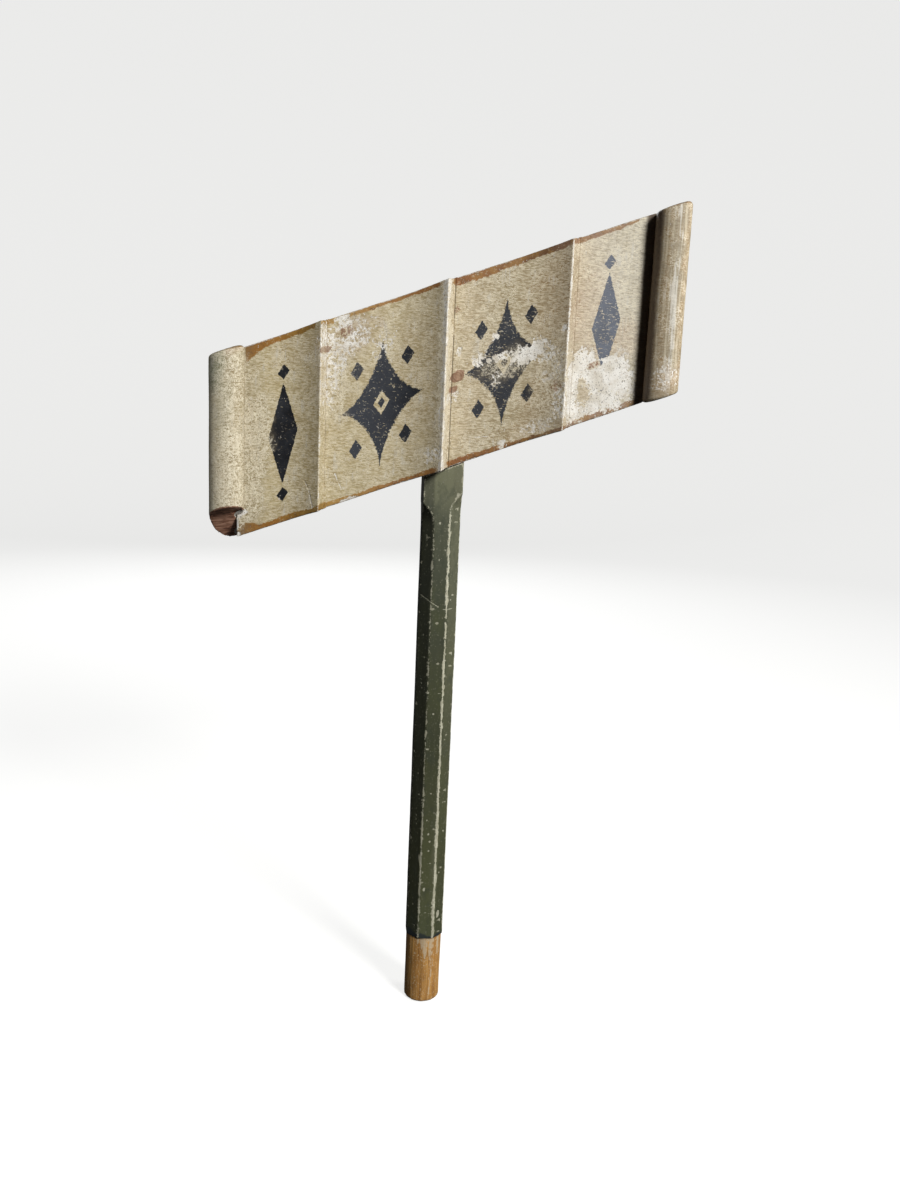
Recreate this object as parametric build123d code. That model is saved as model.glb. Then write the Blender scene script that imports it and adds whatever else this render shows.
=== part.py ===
from build123d import *
import math
import os

# A carved and painted scroll board on an octagonal carrying post, in millimetres.
# The origin is on the post's axis at the shoulder above its spigot. +Z runs up the post,
# +X to the right of someone facing the board, and +Y away from them, so the board faces -Y.

# ---- post
POST_FLATS = 38.0  # side of the square head, and the octagon across its flats
SPIGOT_RADIUS = 18.5
SPIGOT_LENGTH = 74.0
SPIGOT_CHAMFER = 2.0
STOP_RUN = 20.0  # height over which a chamfer runs out into a square corner
STOP_TOP_LEFT = 454.0  # where the chamfers on the left run out, and on the right
STOP_TOP_RIGHT = 465.0
TONGUE_STOP = 18.0  # the tongue ends this far below the board's upper edge
TONGUE_BEVEL = 9.0

# ---- board
BOARD_FOOT = 488.5  # its lower edge, on the post's axis
BOARD_HEIGHT = 173.4  # upright height, the same all along
BOARD_SLOPE = math.tan(math.radians(20.3))
BOARD_THICKNESS = 20.0  # in the flats
BOARD_PROUD = 3.0  # the flats stand this far in front of the post's head
NOSE_RADIUS = 1.0

# One row for each panel's right end: the ridge's crest, the foot of the step behind it (which is
# the glue joint), how far the ridge stands in front of the flats, and the width of the hollow.
RIDGES = [
    {"crest": -118.2, "foot": -113.5, "rise": 16.0, "hollow": 40.0},
    {"crest": -5.0, "foot": 3.0, "rise": 23.0, "hollow": 54.0},
    {"crest": 107.7, "foot": 117.0, "rise": 19.0, "hollow": 48.0},
]

# ---- rolls
ROLL_RADIUS = 16.4
ROLL_BACK_RADIUS = 22.0  # the rounding from the board's back to its end
LEFT_END = -220.0
LEFT_STAND = 3.0  # the roll's centre stands this far in front of the flats
LEFT_LIP_GAP = 1.5
LEFT_LIP_LAP = 8.0  # the lip lies this far over panel 1
LEFT_RAISE = 2.5  # the left roll's top is this far above the board's upper edge
RIGHT_END = 217.6
RIGHT_STAND = 10.0
ROLL_TOP_ROUNDING = 4.0  # where hands have worn the rolls' ends
ROLL_FOOT_ROUNDING = 2.5

# The bevel across the left roll's lower end: steep from the board's back, then shallow.
BEVEL_STEEP_RISE = 26.0
BEVEL_SHALLOW_SLOPE = 0.42
BEVEL_SIDE_SLOPE = 0.19

# ---- fixings
SCREW_HEAD_RADIUS = 4.2
SCREW_SHANK_RADIUS = 2.4
SCREW_CORE_RADIUS = 1.7
SCREW_HEAD_DEPTH = 2.8
SCREW_THREAD_PITCH = 2.5
SCREW_TIP = 4.0
SCREW_SLOT_WIDTH = 1.2
SCREW_SLOT_DEPTH = 1.3
FRONT_SCREW_LENGTH = 34.0
BACK_SCREW_LENGTH = 48.0
PLUG_RADIUS = 4.8
PLUG_DEPTH = 3.0
SCREW_X = 8.8  # front screws are right of the post's axis, back screws as far left
FRONT_SCREW_RISES = [21.0, 83.0, 145.0]  # above the board's lower edge
BACK_SCREW_RISES = [52.0, 114.0]

HALF = POST_FLATS / 2
CORNER = HALF * math.sqrt(2)
FACE_Y = -HALF - BOARD_PROUD
BACK_Y = FACE_Y + BOARD_THICKNESS
FAR = 400.0  # past every part of the board


def foot_at(x):
    """Height of the board's lower edge at x."""
    return BOARD_FOOT + BOARD_SLOPE * x


def front(stand):
    """The y of a point that stands this far in front of the flats."""
    return FACE_Y - stand


def slanted_band(low, high):
    """Everything from low above the board's lower edge to high above it."""
    ends = [(-FAR, foot_at(-FAR)), (FAR, foot_at(FAR))]
    lower = [(x, z + low) for x, z in ends]
    upper = [(x, z + high) for x, z in reversed(ends)]
    outline = Plane.XZ * make_face(Polyline(*lower, *upper, close=True))
    return extrude(outline, amount=FAR, both=True)


def upright(section):
    """A plan outline as a post that passes through the whole height of the board."""
    reach = BOARD_SLOPE * FAR + BOARD_HEIGHT
    return Pos(0, 0, BOARD_FOOT - reach) * extrude(make_face(section), amount=2 * reach)


def panel(left, ridge):
    """A board with a flat front that hollows forward to a ridge, then steps back to its joint."""
    hollow_start = (ridge["crest"] - ridge["hollow"], front(0))
    crest = (ridge["crest"], front(ridge["rise"]))
    joint = (ridge["foot"], front(0))
    section = [
        Polyline((left, front(0)), (left, BACK_Y), (ridge["foot"], BACK_Y), joint, crest),
        TangentArc(hollow_start, crest, tangent=(1, 0)),
        Line(hollow_start, (left, front(0))),
    ]
    solid = upright(section)
    nose = solid.edges().filter_by(Axis.Z).sort_by(Axis.Y)[0]
    return fillet(nose, NOSE_RADIUS) & slanted_band(0, BOARD_HEIGHT)


def right_joint_x():
    """Where the right roll's undercut meets the flats, which is its glue joint."""
    centre = RIGHT_END - ROLL_RADIUS
    return centre - math.sqrt(ROLL_RADIUS**2 - RIGHT_STAND**2)


def end_panel():
    """The right outer board: a plain plank between the third ridge and the right roll."""
    left, right = RIDGES[-1]["foot"], right_joint_x()
    corners = [(left, front(0)), (left, BACK_Y), (right, BACK_Y), (right, front(0))]
    return upright([Polyline(*corners, close=True)]) & slanted_band(0, BOARD_HEIGHT)


def rounded_end(end, inward, side):
    """The outline from the board's back round to its end at x = end, then forward to side."""
    radius = abs(inward)
    shoulder = BACK_Y - radius
    middle = (end + inward * (1 - math.sqrt(0.5)), shoulder + radius * math.sqrt(0.5))
    return [
        ThreePointArc((end + inward, BACK_Y), middle, (end, shoulder)),
        Line((end, shoulder), (end, side)),
    ]


def left_roll():
    """The curled left end, with a lip over panel 1 and a bevelled lower end."""
    centre = LEFT_END + ROLL_RADIUS
    lip = LEFT_END + 2 * ROLL_RADIUS
    side = front(LEFT_STAND)
    joint = left_joint_x()
    section = [
        Line((joint, BACK_Y), (LEFT_END + ROLL_BACK_RADIUS, BACK_Y)),
        *rounded_end(LEFT_END, ROLL_BACK_RADIUS, side),
        ThreePointArc((LEFT_END, side), (centre, side - ROLL_RADIUS), (lip, side)),
        Polyline(
            (lip, side),
            (lip, front(LEFT_LIP_GAP)),
            (lip - LEFT_LIP_LAP / 2, front(0)),
            (joint, front(0)),
            (joint, BACK_Y),
        ),
    ]
    solid = upright(section) & slanted_band(0, BOARD_HEIGHT + LEFT_RAISE)
    solid = fillet(rim(solid, -1), ROLL_TOP_ROUNDING)
    return solid - lower_end_waste(centre)


def rim(solid, end):
    """The round edge of a roll's upper end (-1) or lower end (0), which wear has softened."""
    face = solid.faces().sort_by(Axis.Z)[end]
    return face.edges().sort_by(Axis.Y)[0]


def left_joint_x():
    """The glue joint under the left roll's lip."""
    return LEFT_END + 2 * ROLL_RADIUS - LEFT_LIP_LAP


def lower_end_waste(centre):
    """What the bevel takes off the left roll, as a block swept along the bevel's own slope."""
    start = foot_at(centre)
    side = front(LEFT_STAND)
    crown = side - 2 * ROLL_RADIUS
    shallow_rise = BEVEL_STEEP_RISE + BEVEL_SHALLOW_SLOPE * (side - crown)
    corners = [
        (BACK_Y, start),
        (side, start + BEVEL_STEEP_RISE),
        (crown, start + shallow_rise),
        (crown, start - FAR),
        (BACK_Y, start - FAR),
    ]
    outline = make_face(Polyline(*[(centre, y, z) for y, z in corners], close=True))
    along = Vector(1, 0, BEVEL_SIDE_SLOPE)
    reach = 2 * ROLL_RADIUS * along.length
    return extrude(outline, amount=reach, dir=along.normalized(), both=True)


def right_roll():
    """The curled right end, which stands off panel 4 so that a dark gap runs beside it."""
    centre = RIGHT_END - ROLL_RADIUS
    side = front(RIGHT_STAND)
    joint = right_joint_x()
    half_turn = math.radians(180 + 0.5 * math.degrees(math.asin(RIGHT_STAND / ROLL_RADIUS)))
    under = (
        centre + ROLL_RADIUS * math.cos(half_turn),
        side - ROLL_RADIUS * math.sin(half_turn),
    )
    section = [
        Line((joint, BACK_Y), (RIGHT_END - ROLL_BACK_RADIUS, BACK_Y)),
        *rounded_end(RIGHT_END, -ROLL_BACK_RADIUS, side),
        ThreePointArc((RIGHT_END, side), (centre, side - ROLL_RADIUS), (centre - ROLL_RADIUS, side)),
        ThreePointArc((centre - ROLL_RADIUS, side), under, (joint, front(0))),
        Line((joint, front(0)), (joint, BACK_Y)),
    ]
    solid = upright(section) & slanted_band(0, BOARD_HEIGHT)
    solid = fillet(rim(solid, -1), ROLL_TOP_ROUNDING)
    return fillet(rim(solid, 0), ROLL_FOOT_ROUNDING)


def chamfer_waste(angle, stop_top):
    """What turns one square corner into an octagon's facet, with a curved stop at its top."""
    full = stop_top - STOP_RUN
    outside = CORNER + 4
    profile = [
        Polyline((HALF, full), (HALF, -1), (outside, -1), (outside, stop_top), (CORNER, stop_top)),
        TangentArc((HALF, full), (CORNER, stop_top), tangent=(0, 1)),
    ]
    across = math.radians(angle)
    plane = Plane(
        origin=(0, 0, 0),
        x_dir=(math.cos(across), math.sin(across), 0),
        z_dir=(math.sin(across), -math.cos(across), 0),
    )
    return extrude(plane * make_face(profile), amount=HALF, both=True)


def post():
    """Spigot, octagonal shaft, square head, and the tongue that stands behind the board."""
    tall = BOARD_FOOT + BOARD_HEIGHT + BOARD_SLOPE * HALF
    body = Pos(0, 0, tall / 2) * Box(POST_FLATS, POST_FLATS, tall)
    for angle in (45, 315):
        body -= chamfer_waste(angle, STOP_TOP_RIGHT)
    for angle in (135, 225):
        body -= chamfer_waste(angle, STOP_TOP_LEFT)
    seat = slanted_band(0, FAR) & (Pos(0, BACK_Y - FAR / 2, tall) * Box(FAR, FAR, 2 * tall))
    body -= seat
    body -= slanted_band(BOARD_HEIGHT - TONGUE_STOP, FAR)
    back_corner = body.edges().sort_by(Axis.Z)[-4:].sort_by(Axis.Y)[-1]
    body = chamfer(back_corner, TONGUE_BEVEL)
    spigot = Pos(0, 0, -SPIGOT_LENGTH / 2) * Cylinder(SPIGOT_RADIUS, SPIGOT_LENGTH)
    spigot = chamfer(spigot.edges().sort_by(Axis.Z)[0], SPIGOT_CHAMFER)
    return body + spigot


def screw_body(length):
    """A wood screw without its slot, head up at the origin, pointing down -Z."""
    points = [(0, 0), (SCREW_HEAD_RADIUS, 0), (SCREW_SHANK_RADIUS, -SCREW_HEAD_DEPTH)]
    thread_start = -length * 0.4
    points.append((SCREW_SHANK_RADIUS, thread_start))
    turns = int((length * 0.6 - SCREW_TIP) / SCREW_THREAD_PITCH)
    for turn in range(turns):
        top = thread_start - turn * SCREW_THREAD_PITCH
        points.append((SCREW_CORE_RADIUS, top - 0.35 * SCREW_THREAD_PITCH))
        points.append((SCREW_CORE_RADIUS, top - 0.65 * SCREW_THREAD_PITCH))
        points.append((SCREW_SHANK_RADIUS, top - SCREW_THREAD_PITCH))
    points.append((0, -length))
    profile = Plane.XZ * make_face(Polyline(*points, close=True))
    return revolve(profile, Axis.Z)


def screw(length):
    """A slotted countersunk wood screw."""
    slot = Box(3 * SCREW_HEAD_RADIUS, SCREW_SLOT_WIDTH, 2 * SCREW_SLOT_DEPTH)
    return screw_body(length) - slot


def front_places():
    """Screw places under the plugs, with their heads towards -Y."""
    y = FACE_Y + PLUG_DEPTH
    return [
        Pos(SCREW_X, y, foot_at(SCREW_X) + rise) * Rot(90, 0, 0) for rise in FRONT_SCREW_RISES
    ]


def back_places():
    """Screw places in the tongue's back, with their heads towards +Y."""
    return [Pos(-SCREW_X, HALF, foot_at(-SCREW_X) + rise) * Rot(-90, 0, 0) for rise in BACK_SCREW_RISES]


def plug():
    """A filler plug above a screw's head, flush with the flats."""
    return Pos(0, 0, PLUG_DEPTH / 2) * Cylinder(PLUG_RADIUS, PLUG_DEPTH)


def group(solids):
    """Separate solids that share one file."""
    return Compound(children=list(solids))


def main():
    lefts = [left_joint_x()] + [ridge["foot"] for ridge in RIDGES[:-1]]
    pieces = {f"panel_{i + 1}": panel(*pair) for i, pair in enumerate(zip(lefts, RIDGES))}
    pieces["panel_4"] = end_panel()
    pieces["left_roll"] = left_roll()
    pieces["right_roll"] = right_roll()
    pieces["post"] = post()

    for place in front_places():
        for name in ("panel_3", "post"):
            pieces[name] -= place * screw_body(FRONT_SCREW_LENGTH)
        pieces["panel_3"] -= place * plug()
    for place in back_places():
        for name in ("panel_2", "post"):
            pieces[name] -= place * screw_body(BACK_SCREW_LENGTH)

    pieces["front_screws"] = group(place * screw(FRONT_SCREW_LENGTH) for place in front_places())
    pieces["back_screws"] = group(place * screw(BACK_SCREW_LENGTH) for place in back_places())
    pieces["screw_plugs"] = group(place * plug() for place in front_places())

    os.makedirs("parts", exist_ok=True)
    for name, piece in pieces.items():
        export_step(piece, f"parts/{name}.step")


main()
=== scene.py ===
import math

import bpy
import numpy as np
from mathutils import Matrix, Vector


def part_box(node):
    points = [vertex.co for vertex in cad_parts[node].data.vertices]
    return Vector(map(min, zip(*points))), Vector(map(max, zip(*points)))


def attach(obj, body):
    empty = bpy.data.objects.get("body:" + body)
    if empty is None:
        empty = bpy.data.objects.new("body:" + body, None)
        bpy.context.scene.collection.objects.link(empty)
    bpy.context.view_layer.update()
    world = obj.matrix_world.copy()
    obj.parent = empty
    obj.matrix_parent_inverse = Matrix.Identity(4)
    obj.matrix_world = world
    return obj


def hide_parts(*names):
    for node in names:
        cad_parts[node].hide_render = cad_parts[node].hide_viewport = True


# A carved, gessoed and painted scroll board on a green octagonal post. Each wooden piece starts as its
# CAD solid, is remeshed finely, and is then worn and chipped. Fields worked out at each vertex, in
# millimetres on the board, say where each paint lies, and the materials give them ragged outlines.

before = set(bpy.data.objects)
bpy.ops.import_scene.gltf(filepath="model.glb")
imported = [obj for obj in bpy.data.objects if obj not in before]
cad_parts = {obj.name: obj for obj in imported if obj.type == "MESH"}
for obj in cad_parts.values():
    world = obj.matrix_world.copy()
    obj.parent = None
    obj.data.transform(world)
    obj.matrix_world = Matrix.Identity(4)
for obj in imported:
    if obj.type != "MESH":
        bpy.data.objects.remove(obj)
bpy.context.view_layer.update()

MM = 0.001
SLOPE = math.tan(math.radians(20.3))  # the board's edges rise to the right
PANELS = ["panel_1", "panel_2", "panel_3", "panel_4"]
BOARD = PANELS + ["left_roll", "right_roll"]
BOARD_VOXEL = 0.7 * MM
POST_VOXEL = 0.95 * MM
PLUG_VOXEL = 0.35 * MM
BOARD_ROUNDING = 2  # smoothing passes after the remesh
POST_ROUNDING = 1
SURROUNDINGS = 14  # smoothing passes that give a vertex's wider surroundings
OUTSIDE = -9.0  # millimetres: a field's value well away from what it marks
FAR_OUTSIDE = -50.0  # the same for the painted devices


# ---------------------------------------------------------------- places, from the frame
def mm_box(node):
    """A CAD node's lowest and highest corners, in millimetres."""
    low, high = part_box(node)
    return np.array(low) / MM, np.array(high) / MM


END_LOW, END_HIGH = mm_box("panel_4")
FACE_Y, BACK_Y = END_LOW[1], END_HIGH[1]
FOOT = END_LOW[2] - SLOPE * END_LOW[0]  # height of the board's lower edge on the post's axis
HEIGHT = END_HIGH[2] - FOOT - SLOPE * END_HIGH[0]
LEFT_END = mm_box("left_roll")[0][0]
LIP = mm_box("left_roll")[1][0]
RIGHT_END = mm_box("right_roll")[1][0]
RIGHT_ROLL_LEFT = mm_box("right_roll")[0][0]
POST_HALF = mm_box("post")[1][0]
JOINTS = [mm_box(name)[1][0] for name in PANELS[:3]]
CRESTS = [(-4.9, 0.8, 0.58), (-9.4, 3.0, 0.6), (-9.5, 1.1, 0.66)]  # from joint, half width, wear
CRACK = JOINTS[1]  # the one joint that has opened
PLUG_LOW, PLUG_HIGH = mm_box("screw_plugs")
PLUG_RADIUS = (PLUG_HIGH[0] - PLUG_LOW[0]) / 2
PLUG_X = PLUG_LOW[0] + PLUG_RADIUS
PLUG_MIDDLES = [(PLUG_X, z) for z in np.linspace(PLUG_LOW[2] + PLUG_RADIUS, PLUG_HIGH[2] - PLUG_RADIUS, 3)]


# ---------------------------------------------------------------- smooth random fields
def value_noise(points, size, seed):
    """Smooth noise from -1 to 1 with lumps of about size, at each point."""
    table = np.random.default_rng(seed).random((32, 32, 32)) * 2 - 1
    q = points / size
    cell = np.floor(q).astype(int)
    t = q - cell
    t = t * t * (3 - 2 * t)
    total = np.zeros(len(points))
    for corner in range(8):
        step = np.array([corner & 1, corner >> 1 & 1, corner >> 2 & 1])
        i, j, k = ((cell + step) % 32).T
        weight = np.prod(np.where(step, t, 1 - t), axis=1)
        total += weight * table[i, j, k]
    return total


def fractal(points, size, seed, octaves=3, gain=0.55):
    """Several sizes of noise added up, still about -1 to 1."""
    total, reach, strength = 0, 0, 1.0
    for octave in range(octaves):
        total = total + strength * value_noise(points, size / 2**octave, seed + octave)
        reach += strength
        strength *= gain
    return total / reach * 1.6


def ease(value, low, high):
    """0 at low and beyond, 1 at high and beyond, and smooth between."""
    t = np.clip((value - low) / (high - low), 0, 1)
    return t * t * (3 - 2 * t)


# ---------------------------------------------------------------- meshes
class Worked:
    """A remeshed copy of a CAD node, with its vertices as numpy arrays in millimetres."""

    def __init__(self, node, voxel, rounding):
        self.node = node
        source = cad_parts[node]
        self.obj = bpy.data.objects.new("worn_" + node, source.data.copy())
        bpy.context.scene.collection.objects.link(self.obj)
        weld = self.obj.modifiers.new("weld", "WELD")
        weld.merge_threshold = 0.001 * MM
        remesh = self.obj.modifiers.new("remesh", "REMESH")
        remesh.mode = "VOXEL"
        remesh.voxel_size = voxel
        graph = bpy.context.evaluated_depsgraph_get()
        mesh = bpy.data.meshes.new_from_object(self.obj.evaluated_get(graph))
        self.obj.modifiers.clear()
        self.obj.data = mesh
        mesh.materials.clear()
        self.edges = np.empty(len(mesh.edges) * 2, int)
        mesh.edges.foreach_get("vertices", self.edges)
        self.edges = self.edges.reshape(-1, 2)
        raw = np.empty(len(mesh.vertices) * 3)
        mesh.vertices.foreach_get("co", raw)
        self.at = self.smoothed(raw.reshape(-1, 3) / MM, rounding)
        self.write()
        self.bulge = self.convexity()

    def smoothed(self, values, times):
        """Each vertex's values averaged with its neighbours', that many times."""
        a, b = self.edges.T
        count = len(values)
        share = 1 / np.maximum(np.bincount(a, minlength=count) + np.bincount(b, minlength=count), 1)
        for _ in range(times):
            near = np.stack(
                [
                    np.bincount(a, values[b, k], count) + np.bincount(b, values[a, k], count)
                    for k in range(values.shape[1])
                ],
                axis=1,
            )
            values = 0.5 * values + 0.5 * near * share[:, None]
        return values

    def normals(self):
        out = np.empty(len(self.obj.data.vertices) * 3)
        self.obj.data.vertices.foreach_get("normal", out)
        return out.reshape(-1, 3)

    def convexity(self):
        """Millimetres that a vertex stands out of its smoothed surroundings: arrises are positive."""
        return np.sum((self.at - self.smoothed(self.at, SURROUNDINGS)) * self.normals(), axis=1)

    def push(self, distance):
        """Moves each vertex out along its normal, in millimetres."""
        self.at = self.at + self.normals() * distance[:, None]
        self.write()

    def write(self):
        """Puts the vertices back into the mesh, kept inside the CAD node's own box."""
        self.at = np.clip(self.at, *mm_box(self.node))
        self.obj.data.vertices.foreach_set("co", (self.at * MM).ravel())
        self.obj.data.update()

    def field(self, name, values):
        """Stores one number for each vertex, for the materials to read."""
        layer = self.obj.data.attributes.new(name, "FLOAT", "POINT")
        layer.data.foreach_set("value", np.asarray(values, np.float32))

    def finish(self, material, slot):
        """Gives the piece its material, and takes the CAD node's place."""
        mesh = self.obj.data
        mesh.materials.append(material)
        mesh.polygons.foreach_set("use_smooth", [True] * len(mesh.polygons))
        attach(self.obj, "root")
        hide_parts(self.node)


# ---------------------------------------------------------------- where the board is worn
# Each patch is (x, rise, half width, half height, strength), in millimetres along the board.
LOSSES = [
    (-102, 150, 19, 28, 0.64),
    (-84, 152, 17, 17, 0.5),
    (-109, 116, 9, 24, 0.46),
    (-62, 135, 14, 14, 0.38),
    (-13, 19, 9, 10, 0.52),
    (-193, 21.5, 4.5, 3.5, 1.2),
    (-188.5, 22, 4, 2.5, 0.9),
    (-194.3, 12, 1.7, 7, 0.8),
    (-193.5, 2.5, 2.4, 2.2, 1.1),
    (-196.5, 5, 1.8, 3, 1.0),
    (76, 82, 17, 12, 0.92),
    (48, 88, 18, 4, 0.66),
    (28, 92, 8, 8, 0.62),
    (90, 76, 14, 8, 0.5),
    (99, 60, 13, 16, 0.42),
    (105, 30, 9, 20, 0.5),
    (86, 12, 16, 7, 0.42),
    (125, 55, 17, 13, 1.1),
    (150, 38, 26, 18, 1.25),
    (140, 16, 30, 14, 1.0),
    (118, 36, 9, 22, 0.9),
    (170, 22, 10, 20, 0.85),
    (53, 4, 6, 6, 0.8),
    (-92, 1, 8, 2.5, 0.9),
    (-101, 171, 8, 4, 0.9),
    (200, 20, 13, 14, 0.42),
    (3, 66, 7, 6, 0.56),
    (9, 105, 3, 5, 0.62),
    (43, 108, 4.2, 5, 0.8),
    (44, 68, 7, 6, 0.5),
    (104, 96, 3, 4, 0.75),
]
KEPT = [  # islands of paint inside the losses
    (131, 25, 8, 12, 0.62),
    (138, 51, 9, 4, 0.6),
    (-101, 157, 4, 3, 0.8),
    (150, 62, 10, 6, 0.35),
]
SCUFFS = [
    (-178, 84, 14, 58, 0.95),
    (-182, 30, 13, 20, 0.8),
    (-200, 60, 18, 62, 0.95),
    (-200, 150, 17, 34, 0.6),
    (8, 92, 10, 36, 0.4),
    (98, 50, 22, 46, 0.55),
    (-106, 120, 14, 54, 0.62),
    (-96, 150, 26, 30, 0.35),
    (60, 78, 34, 16, 0.5),
    (-20, 20, 16, 12, 0.4),
    (120, 40, 10, 40, 0.4),
    (-5.5, 40, 7, 150, 1.25),
    (-5.5, 130, 7, 150, 1.25),
]
# Old varnish gone brown; the long upright patches on the right roll, from x 190 to 215, are painted shade
# down its left side and right edge.
BROWNED_AND_SHADED = [  # old varnish gone brown
    (99, 128, 26, 42, 0.95),
    (97, 82, 20, 24, 0.75),
    (88, 40, 18, 26, 0.85),
    (80, 12, 36, 12, 0.65),
    (-28, 95, 22, 60, 0.3),
    (-1, 90, 4, 140, 0.5),
    (-1.5, 148, 4, 12, 1.0),
    (-2, 112, 4, 8, 0.8),
    (-1, 62, 4, 11, 0.9),
    (-2, 22, 4, 12, 1.0),
    (-84, 148, 20, 20, 0.4),
    (-200, 80, 18, 120, 0.28),
    (-140, 155, 30, 14, 0.3),
    (131, 25, 8, 13, 0.6),
    (135, 74, 26, 10, 0.3),
    (136, 4, 34, 5, 0.8),
    (203, 10, 18, 20, 1.0),
    (190, 60, 8, 130, 0.95),
    (190, 140, 8, 100, 0.95),
    (215, 90, 8, 130, 1.0),
    (209, 90, 5, 130, 0.5),
    (196, 100, 6, 130, 0.5),
    (203, 158, 9, 22, 0.5),
    (-211, 90, 7, 80, 0.25),
    (-158, 12, 30, 8, 0.25),
]
PINKED = [  # the paint's pinkish underlayer
    (128, 100, 22, 36, 0.6),
    (158, 62, 26, 22, 0.7),
    (43, 106, 7, 7, 0.4),
    (-94, 152, 26, 18, 0.85),
    (-196, 173, 12, 6, 0.9),
    (-112, 130, 8, 30, 0.5),
    (-4, 90, 6, 110, 0.35),
    (205, 20, 14, 12, 0.4),
]
BOLE = [  # reddish clay showing
    (8, 83, 7.0, 5.0, 1.0),
    (3.5, 72.5, 4.6, 3.6, 1.0),
    (-114, 147, 6, 3, 0.6),
    (-95, 157, 7, 5, 0.55),
    (5, 145, 4.5, 4.5, 0.5),
    (137, 52, 9, 3.5, 0.5),
    (100, 45, 6, 8, 0.46),
]
GREENED = [(-212, 160, 9, 18, 1.2), (-205, 120, 8, 30, 0.4), (-116, 171, 4, 3, 0.6)]
# The right roll's rubbed streak is also a painted highlight, a pale band down the roll where light glints.
SILVERED_HIGHLIGHT = [(202, 60, 3.6, 110, 0.9), (203, 130, 3.6, 80, 0.9)]  # the right roll's rubbed streak
# Painted shadow: the right roll's cast shadow on the last panel, and shade down the left roll's left edge.
ROLL_SHADE = [(183.5, 40, 5, 140, 1.0), (183.5, 140, 5, 120, 1.0), (-219.2, 90, 1.6, 150, 0.45)]
# Real stains, wear and varnish, along with the painted shade and highlight patches.
STAINS_AND_PAINTED_LIGHT = {  # field: its patches, how ragged they are, and whether they are on the front only
    "scuff": (SCUFFS, 0.3, True),
    "browned_and_shaded": (BROWNED_AND_SHADED, 0.3, False),
    "pinked": (PINKED, 0.3, False),
    "greened": (GREENED, 0.3, False),
    "silvered_highlight": (SILVERED_HIGHLIGHT, 0.25, True),
    "roll_shade": (ROLL_SHADE, 0.1, False),
    "bole": (BOLE, 0.4, False),
}
SCRATCHES = [  # x and rise of one end, then of the other
    (-133, 35, -128, 24),
    (-128, 24, -124, 5),
    (84, 96, 90, 78),
    (-104, 30, -97, 12),
    (28, 20, 40, 17),
]


def scratches(x, rise):
    """1 along thin straight scratches, given by their two ends."""
    total = np.zeros(len(x))
    for x0, rise0, x1, rise1 in SCRATCHES:
        long = math.hypot(x1 - x0, rise1 - rise0)
        along = ((x - x0) * (x1 - x0) + (rise - rise0) * (rise1 - rise0)) / long
        aside = np.abs((x - x0) * (rise1 - rise0) - (rise - rise0) * (x1 - x0)) / long
        total = np.maximum(total, ease(-aside, -0.75, -0.2) * (along > 0) * (along < long))
    return total


def patches(x, rise, listed, wobble, ragged=0.35):
    """The strongest of the listed patches at each place, with ragged outlines."""
    total = np.zeros(len(x))
    for middle_x, middle_rise, half_wide, half_tall, strength in listed:
        off = np.hypot((x - middle_x) / half_wide, (rise - middle_rise) / half_tall) + ragged * wobble
        total = np.maximum(total, strength * ease(-off, -1.35, -0.55))
    return total


# ---------------------------------------------------------------- painted devices and border
def lozenge(off_x, off_rise, half_wide, half_tall):
    """Millimetres inside a lozenge, negative outside."""
    level = 1 - np.abs(off_x) / half_wide - np.abs(off_rise) / half_tall
    return level / math.hypot(1 / half_wide, 1 / half_tall)


def star(off_x, off_rise, half_wide, half_tall):
    """Roughly the millimetres inside a four-pointed star with hollow sides."""
    bow = 0.66
    level = 1 - (np.abs(off_x) / half_wide) ** bow - (np.abs(off_rise) / half_tall) ** bow
    return level * 0.3 * half_wide


def spindle_device(x, rise, middle_x, middle_rise):
    """A tall lozenge between two small ones."""
    body = lozenge(x - middle_x, rise - middle_rise, 13.5, 47)
    for end in (-1, 1):
        body = np.maximum(body, lozenge(x - middle_x, rise - middle_rise - end * 56, 5.5, 7))
    return body


def star_device(x, rise, middle_x, middle_rise):
    """A four-pointed star with an open heart, and a small lozenge in each quarter."""
    body = star(x - middle_x, rise - middle_rise, 39, 60)
    heart = lozenge(x - middle_x, rise - middle_rise, 7.5, 11)
    seed = lozenge(x - middle_x, rise - middle_rise, 3.4, 5)
    body = np.maximum(np.minimum(body, -heart), seed)
    for side in (-1, 1):
        for end in (-1, 1):
            body = np.maximum(body, lozenge(x - middle_x - side * 23, rise - middle_rise - end * 36, 6, 9))
    return body


DEVICES = [  # drawing, x and rise of its middle
    (spindle_device, -152.5, 83),
    (star_device, -62, 82),
    (star_device, 52, 82),
    (spindle_device, 147, 86),
]
BAND = 5.0  # the border's usual width
BAND_GAPS = [(-124, -119, -1.0), (-107, -95, -3.0)]  # from x, to x, width where the upper band is gone
BAND_STOP = 13  # the upper band ends this far before the right roll


def upper_band(x, wobble):
    """Width of the border along the upper edge, broad and tapering at the far left."""
    wide = BAND + 1.3 * np.sin(x / 37) + 1.1 * wobble + 11.5 * ease(-x, 156, 194) ** 1.8
    wide = wide - ease(-x, 118, 130) + 1.8 * ease(x, 0, 4) * ease(-x, -60, -20)
    for left, right, width in BAND_GAPS:
        wide = np.where((x > left) & (x < right), width, wide)
    return wide


def border(x, rise, wobble):
    """Millimetres inside the brown border band along the two edges."""
    above = rise - HEIGHT + upper_band(x, wobble)
    above = np.minimum(above, np.where(x > RIGHT_ROLL_LEFT - BAND_STOP, -1, -OUTSIDE))
    above = np.where((x < LIP) | (x > RIGHT_ROLL_LEFT), -1.0, above)
    lower = BAND + 0.9 * np.sin(x / 23 + 1) + 1.1 * wobble + 9 * ease(-x, 166, 196)
    below = np.where(x > RIGHT_ROLL_LEFT, -0.3 - rise, lower - rise)
    return np.maximum(above, below)


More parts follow.
